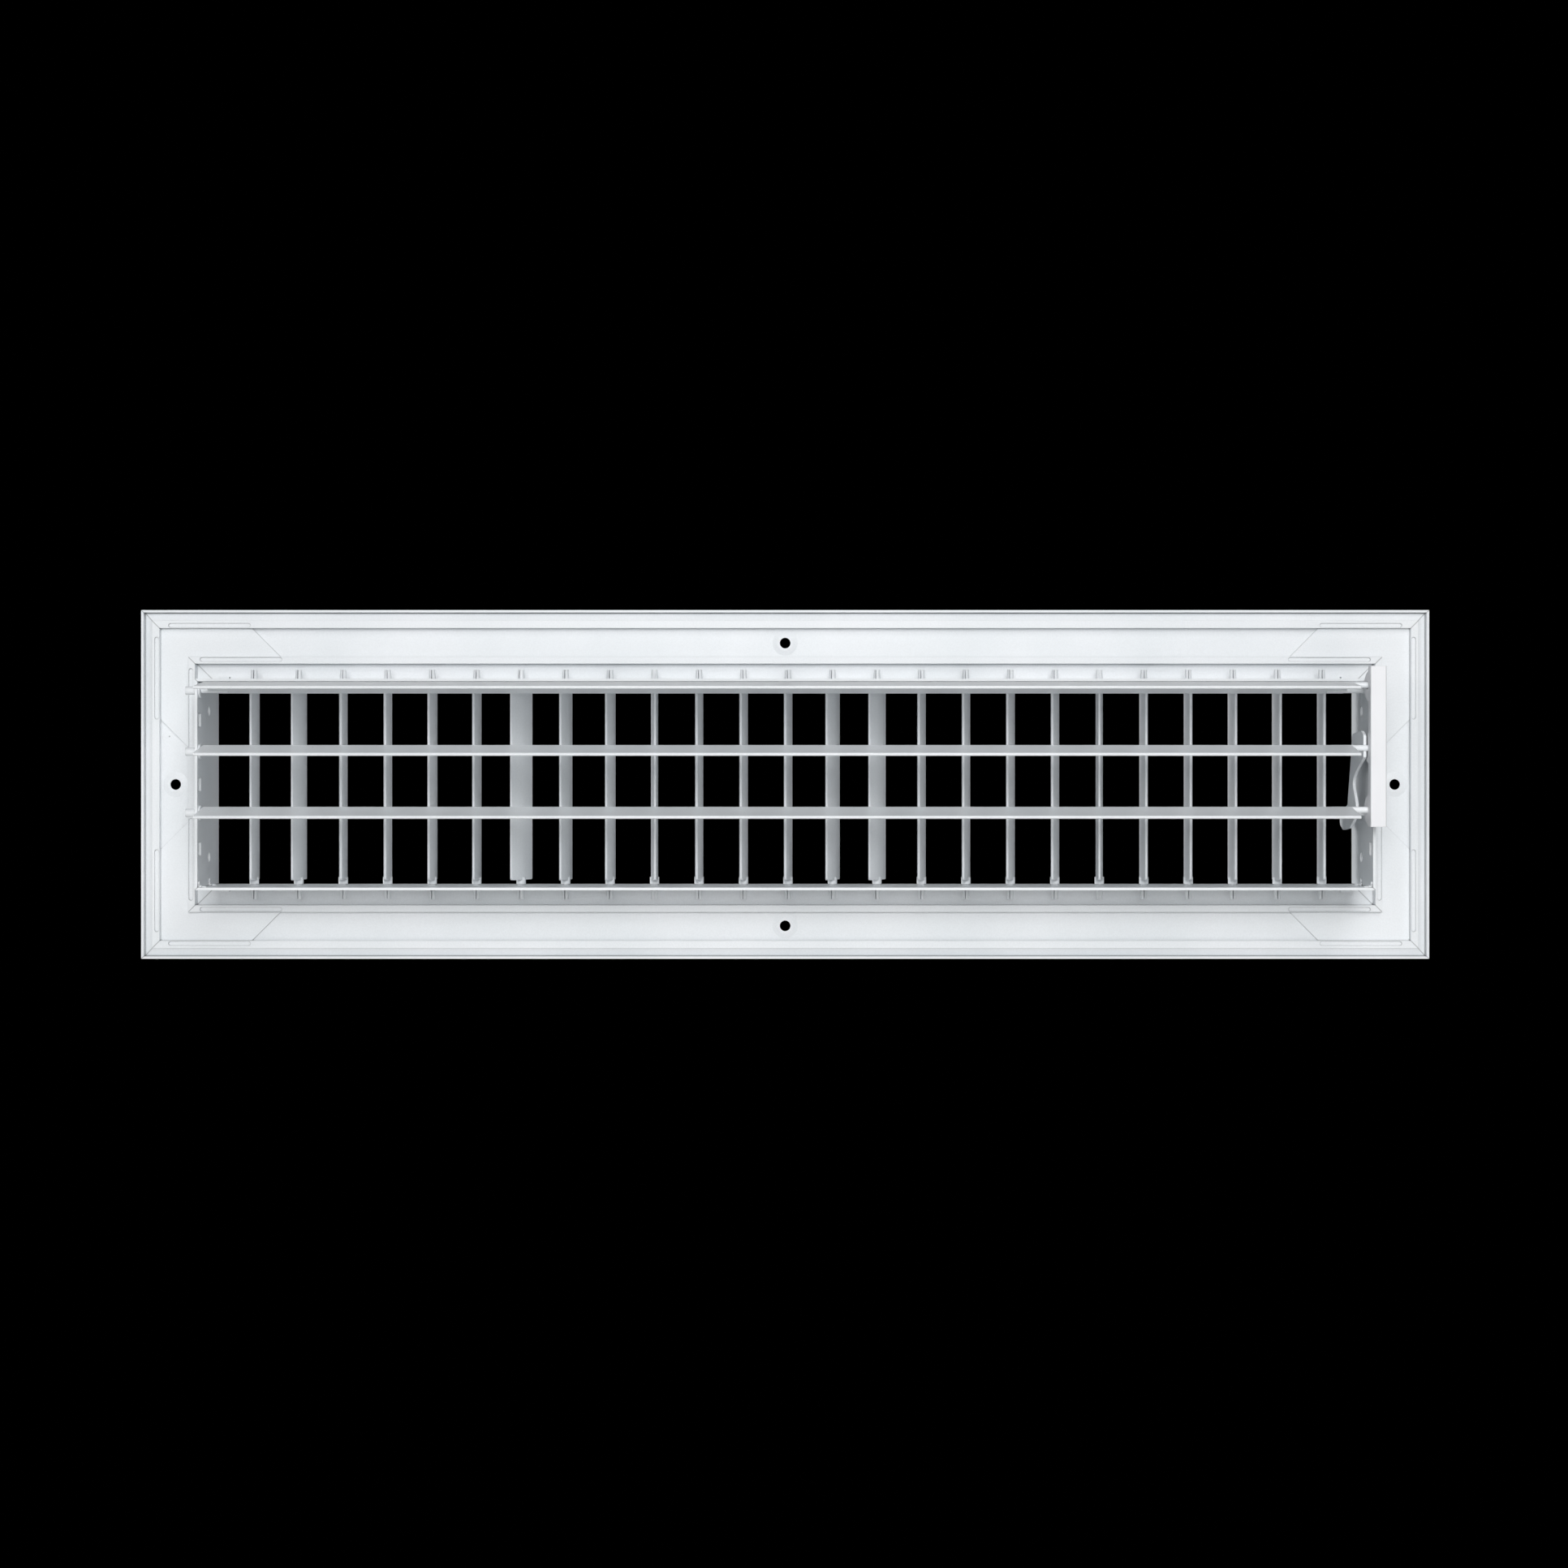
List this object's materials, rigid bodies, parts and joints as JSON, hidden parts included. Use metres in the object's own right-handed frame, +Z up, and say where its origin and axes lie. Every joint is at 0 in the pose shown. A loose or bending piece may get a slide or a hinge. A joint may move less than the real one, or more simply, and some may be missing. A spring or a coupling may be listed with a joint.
{
  "type": "supply register",
  "caption": "Wall supply register with a mitred frame and duct neck, upright turning face blades, and a ganged damper behind them worked by a lever.",
  "frame": {"origin": "middle of the opening, in the plane of the wall behind the rim", "axes": "+X along the register, +Y out of the wall into the room, +Z up; the neck points along -Y"},
  "size_m": [0.554, 0.0623, 0.15],
  "materials": {
    "frame_metal": "satin white powder coat",
    "key_metal": "satin white powder coat",
    "blade_metal": "satin white powder coat",
    "damper_metal": "satin white powder coat",
    "lever_metal": "satin white powder coat",
    "washer_steel": "plain zinc",
    "bush_plastic": "natural nylon",
    "bar_plastic": "moulded white"
  },
  "bodies": {
    "frame": {"frame_rail_top": "frame_metal", "frame_rail_bottom": "frame_metal", "frame_rail_left": "frame_metal", "frame_rail_right": "frame_metal", "corner_key_top_left": "key_metal", "corner_key_top_right": "key_metal", "corner_key_bottom_left": "key_metal", "corner_key_bottom_right": "key_metal", "retaining_washers": "washer_steel", "pivot_bushes_left": "bush_plastic", "pivot_bushes_right": "bush_plastic"},
    "blade_01": {"face_blade_01": "blade_metal"},
    "blade_02": {"face_blade_02": "blade_metal"},
    "blade_03": {"face_blade_03": "blade_metal"},
    "blade_04": {"face_blade_04": "blade_metal"},
    "blade_05": {"face_blade_05": "blade_metal"},
    "blade_06": {"face_blade_06": "blade_metal"},
    "blade_07": {"face_blade_07": "blade_metal"},
    "blade_08": {"face_blade_08": "blade_metal"},
    "blade_09": {"face_blade_09": "blade_metal"},
    "blade_10": {"face_blade_10": "blade_metal"},
    "blade_11": {"face_blade_11": "blade_metal"},
    "blade_12": {"face_blade_12": "blade_metal"},
    "blade_13": {"face_blade_13": "blade_metal"},
    "blade_14": {"face_blade_14": "blade_metal"},
    "blade_15": {"face_blade_15": "blade_metal"},
    "blade_16": {"face_blade_16": "blade_metal"},
    "blade_17": {"face_blade_17": "blade_metal"},
    "blade_18": {"face_blade_18": "blade_metal"},
    "blade_19": {"face_blade_19": "blade_metal"},
    "blade_20": {"face_blade_20": "blade_metal"},
    "blade_21": {"face_blade_21": "blade_metal"},
    "blade_22": {"face_blade_22": "blade_metal"},
    "blade_23": {"face_blade_23": "blade_metal"},
    "blade_24": {"face_blade_24": "blade_metal"},
    "blade_25": {"face_blade_25": "blade_metal"},
    "damper_2": {"damper_blade_2": "damper_metal", "damper_lever": "lever_metal"},
    "damper_1": {"damper_blade_1": "damper_metal"},
    "damper_3": {"damper_blade_3": "damper_metal"},
    "gang_bar": {"gang_bar": "bar_plastic"}
  },
  "joints": [
    {"name": "blade_turn_01", "type": "hinge", "parent": "frame", "child": "blade_01", "pos_m": [-0.2274, -0.004, 0], "axis": [0, 0, 1], "range_deg": [-47, 43]},
    {"name": "blade_turn_02", "type": "hinge", "parent": "frame", "child": "blade_02", "pos_m": [-0.20835, -0.004, 0], "axis": [0, 0, 1], "range_deg": [-36.5, 53.5]},
    {"name": "blade_turn_03", "type": "hinge", "parent": "frame", "child": "blade_03", "pos_m": [-0.1893, -0.004, 0], "axis": [0, 0, 1], "range_deg": [-48.5, 41.5]},
    {"name": "blade_turn_04", "type": "hinge", "parent": "frame", "child": "blade_04", "pos_m": [-0.17025, -0.004, 0], "axis": [0, 0, 1], "range_deg": [-47, 43]},
    {"name": "blade_turn_05", "type": "hinge", "parent": "frame", "child": "blade_05", "pos_m": [-0.1512, -0.004, 0], "axis": [0, 0, 1], "range_deg": [-43, 47]},
    {"name": "blade_turn_06", "type": "hinge", "parent": "frame", "child": "blade_06", "pos_m": [-0.13215, -0.004, 0], "axis": [0, 0, 1], "range_deg": [-43, 47]},
    {"name": "blade_turn_07", "type": "hinge", "parent": "frame", "child": "blade_07", "pos_m": [-0.1131, -0.004, 0], "axis": [0, 0, 1], "range_deg": [-20, 70]},
    {"name": "blade_turn_08", "type": "hinge", "parent": "frame", "child": "blade_08", "pos_m": [-0.09405, -0.004, 0], "axis": [0, 0, 1], "range_deg": [-34.5, 55.5]},
    {"name": "blade_turn_09", "type": "hinge", "parent": "frame", "child": "blade_09", "pos_m": [-0.075, -0.004, 0], "axis": [0, 0, 1], "range_deg": [-37.5, 52.5]},
    {"name": "blade_turn_10", "type": "hinge", "parent": "frame", "child": "blade_10", "pos_m": [-0.05595, -0.004, 0], "axis": [0, 0, 1], "range_deg": [-49.5, 40.5]},
    {"name": "blade_turn_11", "type": "hinge", "parent": "frame", "child": "blade_11", "pos_m": [-0.0369, -0.004, 0], "axis": [0, 0, 1], "range_deg": [-40, 50]},
    {"name": "blade_turn_12", "type": "hinge", "parent": "frame", "child": "blade_12", "pos_m": [-0.01785, -0.004, 0], "axis": [0, 0, 1], "range_deg": [-38, 52]},
    {"name": "blade_turn_13", "type": "hinge", "parent": "frame", "child": "blade_13", "pos_m": [0.0012, -0.004, 0], "axis": [0, 0, 1], "range_deg": [-37, 53]},
    {"name": "blade_turn_14", "type": "hinge", "parent": "frame", "child": "blade_14", "pos_m": [0.02025, -0.004, 0], "axis": [0, 0, 1], "range_deg": [-26, 64]},
    {"name": "blade_turn_15", "type": "hinge", "parent": "frame", "child": "blade_15", "pos_m": [0.0393, -0.004, 0], "axis": [0, 0, 1], "range_deg": [-20, 70]},
    {"name": "blade_turn_16", "type": "hinge", "parent": "frame", "child": "blade_16", "pos_m": [0.05835, -0.004, 0], "axis": [0, 0, 1], "range_deg": [-34, 56]},
    {"name": "blade_turn_17", "type": "hinge", "parent": "frame", "child": "blade_17", "pos_m": [0.0774, -0.004, 0], "axis": [0, 0, 1], "range_deg": [-33, 57]},
    {"name": "blade_turn_18", "type": "hinge", "parent": "frame", "child": "blade_18", "pos_m": [0.09645, -0.004, 0], "axis": [0, 0, 1], "range_deg": [-31, 59]},
    {"name": "blade_turn_19", "type": "hinge", "parent": "frame", "child": "blade_19", "pos_m": [0.1155, -0.004, 0], "axis": [0, 0, 1], "range_deg": [-31, 59]},
    {"name": "blade_turn_20", "type": "hinge", "parent": "frame", "child": "blade_20", "pos_m": [0.13455, -0.004, 0], "axis": [0, 0, 1], "range_deg": [-38, 52]},
    {"name": "blade_turn_21", "type": "hinge", "parent": "frame", "child": "blade_21", "pos_m": [0.1536, -0.004, 0], "axis": [0, 0, 1], "range_deg": [-44, 46]},
    {"name": "blade_turn_22", "type": "hinge", "parent": "frame", "child": "blade_22", "pos_m": [0.17265, -0.004, 0], "axis": [0, 0, 1], "range_deg": [-43, 47]},
    {"name": "blade_turn_23", "type": "hinge", "parent": "frame", "child": "blade_23", "pos_m": [0.1917, -0.004, 0], "axis": [0, 0, 1], "range_deg": [-44, 46]},
    {"name": "blade_turn_24", "type": "hinge", "parent": "frame", "child": "blade_24", "pos_m": [0.21075, -0.004, 0], "axis": [0, 0, 1], "range_deg": [-43.5, 46.5]},
    {"name": "blade_turn_25", "type": "hinge", "parent": "frame", "child": "blade_25", "pos_m": [0.2298, -0.004, 0], "axis": [0, 0, 1], "range_deg": [-40.5, 49.5]},
    {"name": "damper_turn", "type": "hinge", "parent": "frame", "child": "damper_2", "pos_m": [0, -0.0275, 0.0137], "axis": [1, 0, 0], "range_deg": [0, 76]},
    {"name": "damper_turn_1", "type": "hinge", "parent": "frame", "child": "damper_1", "pos_m": [0, -0.0275, 0.0393], "axis": [1, 0, 0], "range_deg": [0, 76]},
    {"name": "damper_turn_3", "type": "hinge", "parent": "frame", "child": "damper_3", "pos_m": [0, -0.0275, -0.0119], "axis": [1, 0, 0], "range_deg": [0, 76]},
    {"name": "gang_swing", "type": "hinge", "parent": "damper_2", "child": "gang_bar", "pos_m": [0.24185, -0.037, 0.0151], "axis": [1, 0, 0], "range_deg": [-76, 0]}
  ],
  "couplings": [
    {"joint": "damper_turn_1", "follows": "damper_turn", "ratio": 1},
    {"joint": "damper_turn_3", "follows": "damper_turn", "ratio": 1},
    {"joint": "gang_swing", "follows": "damper_turn", "ratio": -1}
  ]
}
